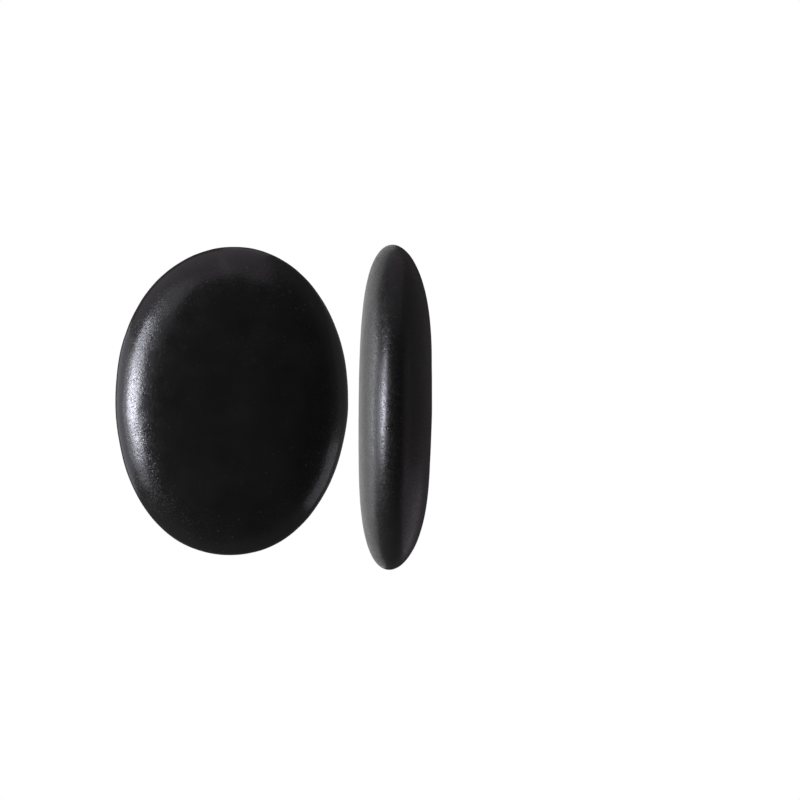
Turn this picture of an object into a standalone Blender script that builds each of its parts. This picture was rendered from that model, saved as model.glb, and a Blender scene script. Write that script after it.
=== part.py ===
"""Loose hot massage stones of polished basalt: one lies on its broad face, one stands on its long rim.

Each stone is one solid pebble with nothing inside it. Seen on its broad face it is an oval, and its
thickness falls from the middle to the rim as sqrt(1 - r ** PROFILE_POWER), where r runs from 0 at the middle
to 1 at the rim. That gives a nearly flat face that rolls over into a round rim.
"""

import math
from dataclasses import dataclass

import bmesh
import bpy
from mathutils import Vector

# Driving dimensions, in metres
LENGTH = 0.0800  # the lying stone's
STANDING_LENGTH = 0.0805
WIDTH = 0.0604
THICKNESS = 0.0180
SPACING = 0.0414  # from the lying stone's middle to the standing one's, which leaves 3 mm between them
END_OFFSET = -0.0016  # how far the standing stone's middle is from the lying one's, along Y

# The section and the oval of a tumbled stone
PROFILE_POWER = 3.5
PLAN_POWER = 2.075  # 2 is an ellipse, and more than 2 is squarer
BOW_POWER = 4.0

# How finely each stone is divided, round its oval and from face to face
PLAN_SEGMENTS = 48
PROFILE_SEGMENTS = 24

BASALT_BLACK = (0.011, 0.011, 0.012, 1.0)
BASALT_ROUGHNESS = 0.34

COLLECTION_NAME = "hot_massage_stones"


@dataclass
class Pebble:
    """What makes one stone differ from a perfect oval."""

    name: str
    length: float
    lean: float  # radians that its long axis turns about +Z, from +Y
    bow: float  # metres that its two ends bend away from the middle
    lobes: tuple  # the outline's swellings, each (how many, share of the radius, radians to the first)
    flat_faces: bool


LYING = Pebble(
    "stone_lying_flat", LENGTH, lean=-0.0236, bow=0.0,
    lobes=((3, 0.0037, 0.45), (4, 0.0018, -0.42), (5, 0.0025, 0.20)), flat_faces=True,
)
STANDING = Pebble(
    "stone_on_edge", STANDING_LENGTH, lean=-0.0115, bow=0.0011, lobes=((3, 0.0015, 0.0),), flat_faces=False,
)


def clear_scene():
    for obj in list(bpy.data.objects):
        bpy.data.objects.remove(obj, do_unlink=True)


def new_collection(name):
    collection = bpy.data.collections.new(name)
    bpy.context.scene.collection.children.link(collection)
    return collection


def basalt(name):
    """Near-black basalt with the satin sheen of a stone that has been tumbled and oiled."""
    material = bpy.data.materials.new(name)
    material.use_nodes = True
    shader = material.node_tree.nodes["Principled BSDF"]
    shader.inputs["Base Color"].default_value = BASALT_BLACK
    shader.inputs["Roughness"].default_value = BASALT_ROUGHNESS
    shader.inputs["Metallic"].default_value = 0.0
    return material


def oval_radius(azimuth, pebble):
    """The outline's radius at this azimuth, for a stone of half width and half length 1."""
    squareness = abs(math.cos(azimuth)) ** PLAN_POWER + abs(math.sin(azimuth)) ** PLAN_POWER
    swelling = 1.0 + sum(share * math.cos(count * (azimuth - turn)) for count, share, turn in pebble.lobes)
    return squareness ** (-1.0 / PLAN_POWER) * swelling


def on_pebble(unit, pebble, half_thickness):
    """Where a point of the unit sphere goes on the stone, whose faces look along its own +Z and -Z."""
    azimuth = math.atan2(unit.y, unit.x)
    out = min(1.0, math.hypot(unit.x, unit.y)) ** (2.0 / PROFILE_POWER)
    radius = out * oval_radius(azimuth, pebble)
    across = radius * math.cos(azimuth)
    along = radius * math.sin(azimuth)
    bend = pebble.bow * (1.0 - min(1.0, abs(along)) ** BOW_POWER)
    return Vector((across * WIDTH / 2, along * pebble.length / 2, unit.z * half_thickness + bend))


def pebble_mesh(pebble):
    bm = bmesh.new()
    bmesh.ops.create_uvsphere(bm, u_segments=PLAN_SEGMENTS, v_segments=PROFILE_SEGMENTS, radius=1.0)
    half_thickness = THICKNESS / 2
    if pebble.flat_faces:
        # The first ring round each pole bounds a flat land, which takes the pole's place.
        poles = [vert for vert in bm.verts if abs(vert.co.z) > 0.9999]
        bmesh.ops.dissolve_verts(bm, verts=poles)
        half_thickness /= math.cos(math.pi / PROFILE_SEGMENTS)
    for vert in bm.verts:
        vert.co = on_pebble(vert.co, pebble, half_thickness)
    bmesh.ops.recalc_face_normals(bm, faces=bm.faces)
    mesh = bpy.data.meshes.new(pebble.name)
    bm.to_mesh(mesh)
    bm.free()
    mesh.shade_smooth()
    return mesh


def add_stone(pebble, collection):
    stone = bpy.data.objects.new(pebble.name, pebble_mesh(pebble))
    stone.data.materials.append(basalt(pebble.name + "_basalt"))
    collection.objects.link(stone)
    return stone


def world_box(objects):
    """The lowest and highest corners of these objects."""
    bpy.context.view_layer.update()
    points = [obj.matrix_world @ vert.co for obj in objects for vert in obj.data.vertices]
    low = Vector([min(point[axis] for point in points) for axis in range(3)])
    high = Vector([max(point[axis] for point in points) for axis in range(3)])
    return low, high


def set_on_ground(stone):
    stone.location.z -= world_box([stone])[0].z


def build():
    clear_scene()
    collection = new_collection(COLLECTION_NAME)

    lying = add_stone(LYING, collection)
    lying.rotation_euler = (0.0, 0.0, LYING.lean)
    set_on_ground(lying)

    # Turned a quarter about Y, its broad faces look along X and its long rim is down.
    standing = add_stone(STANDING, collection)
    standing.rotation_euler = (0.0, math.pi / 2, STANDING.lean)
    standing.location = (SPACING, END_OFFSET, 0.0)
    set_on_ground(standing)

    # The origin is the middle of the pair's footprint.
    low, high = world_box([lying, standing])
    for stone in (lying, standing):
        stone.location.x -= (low.x + high.x) / 2
        stone.location.y -= (low.y + high.y) / 2


build()
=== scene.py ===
"""Two hot massage stones of polished basalt on a white studio floor, seen from straight above.

One stone lies on its broad face, and the other stands on its long rim, so that the camera sees one face-on
and one edge-on. Each stone is a fine mesh shaped by the same rule as its CAD solid: an oval whose thickness
falls from the middle to the rim as sqrt(1 - r ** PROFILE_POWER). On that lie slow swells, which make the
highlights waver, and small dents. What is finer than the mesh is in the material.
"""

import math
from dataclasses import dataclass

import bpy
import numpy as np
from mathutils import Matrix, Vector


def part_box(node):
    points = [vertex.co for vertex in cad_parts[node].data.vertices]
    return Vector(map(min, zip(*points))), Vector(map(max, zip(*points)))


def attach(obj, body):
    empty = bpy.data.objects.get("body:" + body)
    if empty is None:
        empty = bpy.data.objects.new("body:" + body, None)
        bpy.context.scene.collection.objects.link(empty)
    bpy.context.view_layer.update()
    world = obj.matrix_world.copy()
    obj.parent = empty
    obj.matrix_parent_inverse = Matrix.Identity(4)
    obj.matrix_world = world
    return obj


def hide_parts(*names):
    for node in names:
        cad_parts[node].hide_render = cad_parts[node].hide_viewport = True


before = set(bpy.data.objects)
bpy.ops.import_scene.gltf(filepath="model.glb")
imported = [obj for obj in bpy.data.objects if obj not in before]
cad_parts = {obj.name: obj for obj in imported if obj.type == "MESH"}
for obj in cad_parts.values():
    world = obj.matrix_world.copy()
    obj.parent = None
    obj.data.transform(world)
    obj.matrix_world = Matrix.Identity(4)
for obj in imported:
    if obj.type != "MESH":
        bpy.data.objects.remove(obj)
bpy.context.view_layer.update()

MM = 0.001

# The section and the oval of a tumbled stone
PROFILE_POWER = 3.5
PLAN_POWER = 2.075  # 2 is an ellipse, and more than 2 is squarer
BOW_POWER = 4.0

SUBDIVISIONS = 7  # of each side of a cube that is then blown up into the stone
PROFILE_SAMPLES = 4000  # points along the section, from which its length is measured

# Relief that is in the mesh
SLOW_SWELLS = {"waves": 24, "longest": 34 * MM, "shortest": 11 * MM, "height": 0.035 * MM}
QUICK_SWELLS = {"waves": 40, "longest": 9 * MM, "shortest": 4.5 * MM, "height": 0.010 * MM}
DENTS = {"count": 220, "radii": (0.45 * MM, 0.9 * MM), "slope": 0.02}

# What is finer than the mesh, and so is in the material
GRAIN_SIZE = 0.35 * MM
RIPPLE_WAVELENGTH = 0.9 * MM
RIPPLE_HEIGHT = 0.025 * MM
PIT_SPACING = 1.25 * MM
PIT_RADIUS = 0.32 * MM
FLECK_SPACING = 2.1 * MM
FLECK_RADIUS = 0.34 * MM
FLECKS_ON_FACES = 0.25  # how strong the flecks are there, next to 1 at the rim
FLECK_SHIFT = 0.3  # moves their pattern away from the pits'

# Patches of colour and of polish, each with the noise values between which one turns into the other
CLOUD_SIZE = 11.0 * MM
CLOUD_TURN = (0.35, 0.65)
POLISH_PATCH = 3.5 * MM
POLISH_TURN = (0.3, 0.7)
POLISH_VARIATION = 0.03
BASALT_IOR = 1.5
DARK_BASALT = (0.0066, 0.0067, 0.0060)
PALE_BASALT = (0.0096, 0.0097, 0.0087)
FLECK_COLOUR = (0.042, 0.042, 0.039)

# Cosines of the tilts between which a broad face becomes the rim
SHOULDER_STARTS = math.cos(math.radians(3.0))
SHOULDER_ENDS = math.cos(math.radians(20.0))

# The studio
LIGHTS_AIM = (0.0, 0.0, 0.02)
PANEL_DISTANCE = 0.8
FLOOR_SIZE = 12.0
CONTACT_SHADE = 4.0 * MM  # how far from a stone the painted contact shadow darkens the floor's glow
LENS = 85.0
SENSOR_WIDTH = 36.0
EYE_HEIGHT = 0.499
EYE_OFFSET = (0.0012, 0.0018)  # from above the standing stone's middle, along X and Y

COOL = (0.88, 0.89, 1.0)
NEUTRAL = (1.0, 1.0, 1.0)
WARM = (1.0, 0.88, 1.0)

# How bright the room is for the stones, from straight down (0) through the horizon (0.5) to straight up (1)
ROOM = ((0.0, 0.05), (0.1, 0.09), (0.33, 0.14), (0.58, 0.18), (0.97, 0.02))
ROOM_TINT = (1.0, 0.93, 0.98)


@dataclass
class Panel:
    """A soft light, as seen from between the stones. All its angles are in degrees."""

    name: str
    lights: str  # both, lying or standing
    side: float  # round from +X
    tilt: float  # off the vertical
    wide: float
    tall: float
    radiance: float
    tint: tuple = NEUTRAL
    round: bool = False


PANELS = (
    Panel("key_glow", "lying", side=158, tilt=48, wide=56, tall=32, radiance=0.5, tint=COOL, round=True),
    Panel("key_softbox", "both", side=184, tilt=67, wide=40, tall=38, radiance=2.4, tint=COOL, round=True),
    Panel("key_middle", "both", side=172, tilt=56.5, wide=34, tall=22, radiance=9.2, tint=COOL, round=True),
    Panel("key_core", "both", side=183, tilt=62, wide=22, tall=21, radiance=14.5, tint=COOL, round=True),
    Panel("left_bounce", "both", side=182, tilt=106, wide=42, tall=50, radiance=1.05, tint=COOL),
    Panel("left_strip", "standing", side=178, tilt=110, wide=32, tall=12, radiance=3.2),
    Panel("low_bounce", "standing", side=170, tilt=150, wide=90, tall=60, radiance=0.6),
    Panel("back_wall", "lying", side=130, tilt=76, wide=58, tall=76, radiance=0.36, tint=WARM),
    Panel("back_glow", "standing", side=84, tilt=88, wide=60, tall=84, radiance=0.16, tint=WARM),
    Panel("far_wall", "lying", side=88, tilt=84, wide=30, tall=92, radiance=0.38, tint=WARM),
    Panel("right_strip", "lying", side=332, tilt=89, wide=26, tall=40, radiance=0.88, tint=COOL),
    Panel("right_bounce", "lying", side=0, tilt=120, wide=60, tall=80, radiance=0.1),
    Panel("right_wall", "standing", side=326, tilt=104, wide=30, tall=80, radiance=0.3, tint=WARM),
    Panel("right_glow", "standing", side=356, tilt=62, wide=44, tall=36, radiance=0.12, tint=WARM),
)


@dataclass
class Stone:
    """One stone: the CAD node that it stands for, its shape and its polish."""

    name: str
    node: str
    body: str
    slot: str
    on_edge: bool
    lean: float  # radians that its long axis turns about +Z, from +Y
    bow: float  # metres that its two ends bend away from the middle
    lobes: tuple  # the outline's swellings, each (how many, share of the radius, radians to the first)
    seed: int
    roughness: float
    matt_share: float  # of the grains at the rim
    matt_roughness: float  # of the least polished grain
    pit_depth: float


LYING = Stone(
    "polished_stone_lying", "stone_lying_flat", "lying_stone", "lying_basalt", on_edge=False,
    lean=-0.0236, bow=0.0, lobes=((3, 0.0037, 0.45), (4, 0.0018, -0.42), (5, 0.0025, 0.20)), seed=11,
    roughness=0.19, matt_share=0.33, matt_roughness=0.38, pit_depth=0.024 * MM,
)
STANDING = Stone(
    "polished_stone_on_edge", "stone_on_edge", "standing_stone", "standing_basalt", on_edge=True,
    lean=-0.0115, bow=0.0011, lobes=((3, 0.0015, 0.0),), seed=23,
    roughness=0.28, matt_share=0.6, matt_roughness=0.48, pit_depth=0.026 * MM,
)


# ---- the stones' shape ----

def cube_sphere():
    """An evenly divided unit sphere: its mesh and its points as an array."""
    bpy.ops.mesh.primitive_cube_add(size=2.0)
    cube = bpy.context.object
    divide = cube.modifiers.new("divide", "SUBSURF")
    divide.subdivision_type = "SIMPLE"
    divide.levels = divide.render_levels = SUBDIVISIONS
    evaluated = cube.evaluated_get(bpy.context.evaluated_depsgraph_get())
    mesh = bpy.data.meshes.new_from_object(evaluated)
    bpy.data.objects.remove(cube, do_unlink=True)
    points = points_of(mesh)
    points = np.tan(points * math.pi / 4)
    return mesh, points / np.linalg.norm(points, axis=1, keepdims=True)


def points_of(mesh):
    flat = np.empty(len(mesh.vertices) * 3)
    mesh.vertices.foreach_get("co", flat)
    return flat.reshape(-1, 3)


def set_points(mesh, points):
    mesh.vertices.foreach_set("co", points.ravel())
    mesh.update()


def section_angle(share, thickness, mean_width):
    """The section's angle at this share of its length: 0 at the middle of a face, pi / 2 at the rim."""
    angle = np.linspace(0.0, math.pi / 2, PROFILE_SAMPLES)
    out = np.sin(angle) ** (2.0 / PROFILE_POWER) * mean_width / 2
    up = np.cos(angle) * thickness / 2
    length = np.concatenate([[0.0], np.cumsum(np.hypot(np.diff(out), np.diff(up)))])
    return np.interp(share, length / length[-1], angle)


def own_size(stone):
    """The stone's width, length and thickness, from its node's box."""
    low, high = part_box(stone.node)
    across, along, up = high - low
    if stone.on_edge:
        return up, along, thickness_of_lying()
    return across, along, up


def thickness_of_lying():
    """Both stones' thickness. The standing one's own box is wider, because it leans and is bowed."""
    low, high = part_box(LYING.node)
    return high.z - low.z


def on_pebble(unit, size, bow, lobes):
    """Where points of the unit sphere go on a stone of this size, with its faces up and down."""
    width, length, thickness = size
    azimuth = np.arctan2(unit[:, 1], unit[:, 0])
    down = np.arccos(np.clip(np.abs(unit[:, 2]), 0.0, 1.0)) / (math.pi / 2)
    angle = section_angle(down, thickness, (width + length) / 2)
    squareness = np.abs(np.cos(azimuth)) ** PLAN_POWER + np.abs(np.sin(azimuth)) ** PLAN_POWER
    radius = np.sin(angle) ** (2.0 / PROFILE_POWER) * squareness ** (-1.0 / PLAN_POWER)
    radius *= 1.0 + sum(share * np.cos(count * (azimuth - turn)) for count, share, turn in lobes)
    across, along = radius * np.cos(azimuth), radius * np.sin(azimuth)
    bend = bow * (1.0 - np.minimum(1.0, np.abs(along)) ** BOW_POWER)
    up = np.sign(unit[:, 2]) * np.cos(angle) * thickness / 2 + bend
    return np.stack([across * width / 2, along * length / 2, up], axis=1)


def swells(points, random, waves, longest, shortest, height):
    """Slow, smooth waves over the stone, as a height at each point."""
    total = np.zeros(len(points))
    for _ in range(waves):
        direction = random.normal(size=3)
        direction /= np.linalg.norm(direction)
        wavelength = random.uniform(shortest, longest)
        phase = random.uniform(0.0, 2 * math.pi)
        total += np.cos(points @ direction * (2 * math.pi / wavelength) + phase)
    return total * height * math.sqrt(2.0 / waves)


def dents(points, random, count, radii, slope):
    """Round-bottomed dents scattered over the stone, as a depth at each point."""
    total = np.zeros(len(points))
    order = np.argsort(points[:, 1])
    along = points[order, 1]
    for centre in points[random.integers(0, len(points), count)]:
        radius = random.uniform(*radii)
        first, last = np.searchsorted(along, [centre[1] - radius, centre[1] + radius])
        near = order[first:last]
        share = np.sum((points[near] - centre) ** 2, axis=1) / radius**2
        near, share = near[share < 1.0], share[share < 1.0]
        total[near] += slope * radius * (1.0 - share) ** 2
    return total


def fit_to_box(points, low, high):
    """The points scaled and moved so that they just fill the box."""
    own_low, own_high = points.min(axis=0), points.max(axis=0)
    share = (points - own_low) / (own_high - own_low)
    return np.array(low) + share * (np.array(high) - np.array(low))


def normals_of(mesh):
    flat = np.empty(len(mesh.vertices) * 3)
    mesh.vertex_normals.foreach_get("vector", flat)
    return flat.reshape(-1, 3)


def add_stone(stone):
    """A finely divided stone in the place of its CAD node."""
    random = np.random.default_rng(stone.seed)
    mesh, unit = cube_sphere()
    mesh.name = stone.name
    points = on_pebble(unit, own_size(stone), stone.bow, stone.lobes)
    set_points(mesh, points)
    relief = swells(points, random, **SLOW_SWELLS)
    relief += swells(points, random, **QUICK_SWELLS)
    relief -= dents(points, random, **DENTS)
    points = points + normals_of(mesh) * relief[:, None]
    if stone.on_edge:
        # A quarter turn about Y: the broad faces then look along X.
        points = points[:, [2, 1, 0]] * [1.0, 1.0, -1.0]
    cosine, sine = math.cos(stone.lean), math.sin(stone.lean)
    points[:, :2] = points[:, :2] @ np.array([[cosine, sine], [-sine, cosine]])
    set_points(mesh, fit_to_box(points, *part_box(stone.node)))
    mesh.shade_smooth()
    mesh.materials.append(basalt(stone))
    piece = bpy.data.objects.new(stone.name, mesh)
    piece.visible_glossy = False
    piece.visible_diffuse = False
    bpy.context.scene.collection.objects.link(piece)
    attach(piece, stone.body)
    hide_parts(stone.node)
    return piece


# ---- basalt ----

class Rock:
    """A material's nodes. Its textures follow the place on the stone, in metres."""

    def __init__(self, name):
        self.material = bpy.data.materials.new(name)
        self.material.use_nodes = True
        self.nodes, self.links = self.material.node_tree.nodes, self.material.node_tree.links
        self.shader = self.nodes["Principled BSDF"]
        self.place = self.nodes.new("ShaderNodeTexCoord").outputs["Object"]

    def noise(self, wavelength, detail=2.0, roughness=0.5):
        node = self.nodes.new("ShaderNodeTexNoise")
        node.inputs["Scale"].default_value = 1.0 / wavelength
        node.inputs["Detail"].default_value = detail
        node.inputs["Roughness"].default_value = roughness
        self.links.new(self.place, node.inputs["Vector"])
        return node.outputs["Fac"]

    def grains(self, size):
        """A value of its own from 0 to 1 for each mineral grain of about this size."""
        cells = self.nodes.new("ShaderNodeTexVoronoi")
        cells.inputs["Scale"].default_value = 1.0 / size
        self.links.new(self.place, cells.inputs["Vector"])
        value = self.nodes.new("ShaderNodeSeparateColor")
        self.links.new(cells.outputs["Color"], value.inputs["Color"])
        return value.outputs["Red"]

    def towards_rim(self, face_axis):
        """0 on the flats of the faces, which look along this axis, and 1 from the shoulder to the rim."""
        normal = self.nodes.new("ShaderNodeSeparateXYZ")
        self.links.new(self.nodes.new("ShaderNodeTexCoord").outputs["Normal"], normal.inputs["Vector"])
        facing = self.math("ABSOLUTE", normal.outputs[face_axis], 0.0)
        return self.span(facing, SHOULDER_STARTS, SHOULDER_ENDS, 0.0, 1.0, smooth=True)

    def specks(self, spacing, radius, shift):
        """1 at the middles of round specks scattered about this far apart, 0 outside them."""
        moved = self.nodes.new("ShaderNodeVectorMath")
        moved.inputs[1].default_value = (shift, shift, shift)
        self.links.new(self.place, moved.inputs[0])
        cells = self.nodes.new("ShaderNodeTexVoronoi")
        cells.inputs["Scale"].default_value = 1.0 / spacing
        self.links.new(moved.outputs["Vector"], cells.inputs["Vector"])
        return self.span(cells.outputs["Distance"], 0.0, radius / spacing, 1.0, 0.0, smooth=True)

    def span(self, value, low, high, new_low, new_high, smooth=False):
        node = self.nodes.new("ShaderNodeMapRange")
        node.interpolation_type = "SMOOTHSTEP" if smooth else "LINEAR"
        for socket, number in zip(node.inputs[1:5], (low, high, new_low, new_high)):
            socket.default_value = number
        self.links.new(value, node.inputs["Value"])
        return node.outputs["Result"]

    def math(self, operation, first, second):
        node = self.nodes.new("ShaderNodeMath")
        node.operation = operation
        for socket, value in zip(node.inputs, (first, second)):
            if isinstance(value, float):
                socket.default_value = value
            else:
                self.links.new(value, socket)
        return node.outputs["Value"]

    def blend(self, share, first, second):
        node = self.nodes.new("ShaderNodeMix")
        node.data_type = "RGBA"
        self.links.new(share, node.inputs["Factor"])
        for socket, colour in ((node.inputs["A"], first), (node.inputs["B"], second)):
            if isinstance(colour, tuple):
                socket.default_value = (*colour, 1.0)
            else:
                self.links.new(colour, socket)
        return node.outputs["Result"]


def basalt(stone):
    """Near-black polished basalt. At the rim, some of its grains took less polish than the rest."""
    rock = Rock(stone.name + "_basalt")
    rim = rock.towards_rim("X" if stone.on_edge else "Z")

    clouds = rock.span(rock.noise(CLOUD_SIZE, 3.0), *CLOUD_TURN, 0.0, 1.0)
    stone_colour = rock.blend(clouds, DARK_BASALT, PALE_BASALT)
    fleck_strength = rock.span(rim, 0.0, 1.0, FLECKS_ON_FACES, 1.0)
    flecks = rock.specks(FLECK_SPACING, FLECK_RADIUS, FLECK_SHIFT)
    flecks = rock.math("MULTIPLY", flecks, fleck_strength)
    rock.links.new(rock.blend(flecks, stone_colour, FLECK_COLOUR), rock.shader.inputs["Base Color"])

    extra = stone.matt_roughness - stone.roughness
    matt = rock.span(rock.grains(GRAIN_SIZE), 1.0 - stone.matt_share, 1.0, 0.0, extra)
    matt = rock.math("MULTIPLY", matt, rim)
    smoothest, roughest = stone.roughness - POLISH_VARIATION, stone.roughness + POLISH_VARIATION
    polish = rock.span(rock.noise(POLISH_PATCH, 3.0), *POLISH_TURN, smoothest, roughest)
    rock.links.new(rock.math("ADD", polish, matt), rock.shader.inputs["Roughness"])

    # Heights are in millimetres, which the bump's distance turns into metres.
    pits = rock.math("MULTIPLY", rock.specks(PIT_SPACING, PIT_RADIUS, shift=0.0), stone.pit_depth / MM)
    ripple = rock.math("MULTIPLY", rock.noise(RIPPLE_WAVELENGTH, 1.5), RIPPLE_HEIGHT / MM)
    bump = rock.nodes.new("ShaderNodeBump")
    bump.inputs["Distance"].default_value = MM
    rock.links.new(rock.math("SUBTRACT", ripple, pits), bump.inputs["Height"])
    rock.links.new(bump.outputs["Normal"], rock.shader.inputs["Normal"])
    rock.shader.inputs["IOR"].default_value = BASALT_IOR
    return rock.material


# ---- the studio ----

def aim(obj, target):
    obj.rotation_euler = (Vector(target) - obj.location).to_track_quat("-Z", "Y").to_euler()


def group(name, objects):
    linked = bpy.data.collections.new(name)
    for obj in objects:
        linked.objects.link(obj)
    return linked


def width_of(degrees):
    """How wide a panel is that covers this angle as seen from the stones."""
    return 2 * PANEL_DISTANCE * math.tan(math.radians(degrees) / 2)


def add_light(panel, lit, ground):
    """A panel as an area light that only the lit pieces see and that no stone shades."""
    data = bpy.data.lights.new(panel.name, "AREA")
    data.shape = "ELLIPSE" if panel.round else "RECTANGLE"
    data.size = width_of(panel.wide)
    data.size_y = width_of(panel.tall)
    area = data.size * data.size_y * (math.pi / 4 if panel.round else 1.0)
    data.energy = panel.radiance * math.pi * area
    data.color = panel.tint
    lamp = bpy.data.objects.new(panel.name, data)
    side, tilt = math.radians(panel.side), math.radians(panel.tilt)
    offset = Vector((math.sin(tilt) * math.cos(side), math.sin(tilt) * math.sin(side), math.cos(tilt)))
    lamp.location = Vector(LIGHTS_AIM) + offset * PANEL_DISTANCE
    aim(lamp, LIGHTS_AIM)
    lamp.visible_camera = False
    lamp.light_linking.receiver_collection = group(panel.name + "_lights", lit)
    lamp.light_linking.blocker_collection = group(panel.name + "_shaded_by", [ground])
    bpy.context.scene.collection.objects.link(lamp)


def add_floor():
    """A white glowing floor with a painted contact shadow: its glow is darkened close under the stones."""
    bpy.ops.mesh.primitive_plane_add(size=FLOOR_SIZE, location=(0.0, 0.0, 0.0))
    plane = bpy.context.object
    plane.name = "studio_floor"
    material = bpy.data.materials.new("studio_floor")
    material.use_nodes = True
    nodes, links = material.node_tree.nodes, material.node_tree.links
    shader = nodes["Principled BSDF"]
    shader.inputs["Base Color"].default_value = (0.0, 0.0, 0.0, 1.0)
    shader.inputs["Roughness"].default_value = 1.0
    shader.inputs["Specular IOR Level"].default_value = 0.0
    shader.inputs["Emission Strength"].default_value = 1.0
    # Painted contact shadow: ambient occlusion darkens the floor's glow close under the stones.
    painted_contact_shadow = nodes.new("ShaderNodeAmbientOcclusion")
    painted_contact_shadow.inputs["Distance"].default_value = CONTACT_SHADE
    painted_contact_shadow.inputs["Color"].default_value = (1.0, 1.0, 1.0, 1.0)
    links.new(painted_contact_shadow.outputs["Color"], shader.inputs["Emission Color"])
    plane.data.materials.append(material)
    plane.visible_glossy = False
    plane.visible_diffuse = False
    plane.visible_shadow = False
    return plane


def add_surroundings():
    """White to the camera. To the stones it is a dim room, darkest overhead."""
    world = bpy.data.worlds.new("studio")
    world.use_nodes = True
    bpy.context.scene.world = world
    nodes, links = world.node_tree.nodes, world.node_tree.links
    way = nodes.new("ShaderNodeTexCoord")
    height = nodes.new("ShaderNodeSeparateXYZ")
    links.new(way.outputs["Generated"], height.inputs["Vector"])
    upward = nodes.new("ShaderNodeMapRange")
    upward.inputs["From Min"].default_value = -1.0
    links.new(height.outputs["Z"], upward.inputs["Value"])
    dim = nodes.new("ShaderNodeValToRGB")
    links.new(upward.outputs["Result"], dim.inputs["Fac"])
    dim.color_ramp.interpolation = "EASE"
    stops = dim.color_ramp.elements
    stops[0].position, stops[1].position = ROOM[0][0], ROOM[-1][0]
    for position, _ in ROOM[1:-1]:
        stops.new(position)
    for stop, (_, radiance) in zip(stops, ROOM):
        stop.color = (*(radiance * share for share in ROOM_TINT), 1.0)
    room = nodes["Background"]
    links.new(dim.outputs["Color"], room.inputs["Color"])
    white = nodes.new("ShaderNodeBackground")
    white.inputs["Color"].default_value = (1.0, 1.0, 1.0, 1.0)
    white.inputs["Strength"].default_value = 1.0
    mix = nodes.new("ShaderNodeMixShader")
    links.new(nodes.new("ShaderNodeLightPath").outputs["Is Camera Ray"], mix.inputs["Fac"])
    links.new(room.outputs["Background"], mix.inputs[1])
    links.new(white.outputs["Background"], mix.inputs[2])
    links.new(mix.outputs["Shader"], nodes["World Output"].inputs["Surface"])


def add_camera():
    """A camera above the standing stone. Unturned, it looks straight down."""
    low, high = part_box(STANDING.node)
    data = bpy.data.cameras.new("camera")
    data.lens = LENS
    data.sensor_width = SENSOR_WIDTH
    eye = bpy.data.objects.new("camera", data)
    eye.location = (
        (low.x + high.x) / 2 + EYE_OFFSET[0],
        (low.y + high.y) / 2 + EYE_OFFSET[1],
        EYE_HEIGHT,
    )
    bpy.context.scene.collection.objects.link(eye)
    bpy.context.scene.camera = eye


lying = add_stone(LYING)
standing = add_stone(STANDING)
ground = add_floor()
add_surroundings()
lit_by = {"both": [lying, standing], "lying": [lying], "standing": [standing]}
for panel in PANELS:
    add_light(panel, lit_by[panel.lights], ground)
add_camera()
bpy.context.scene.view_settings.view_transform = "Standard"
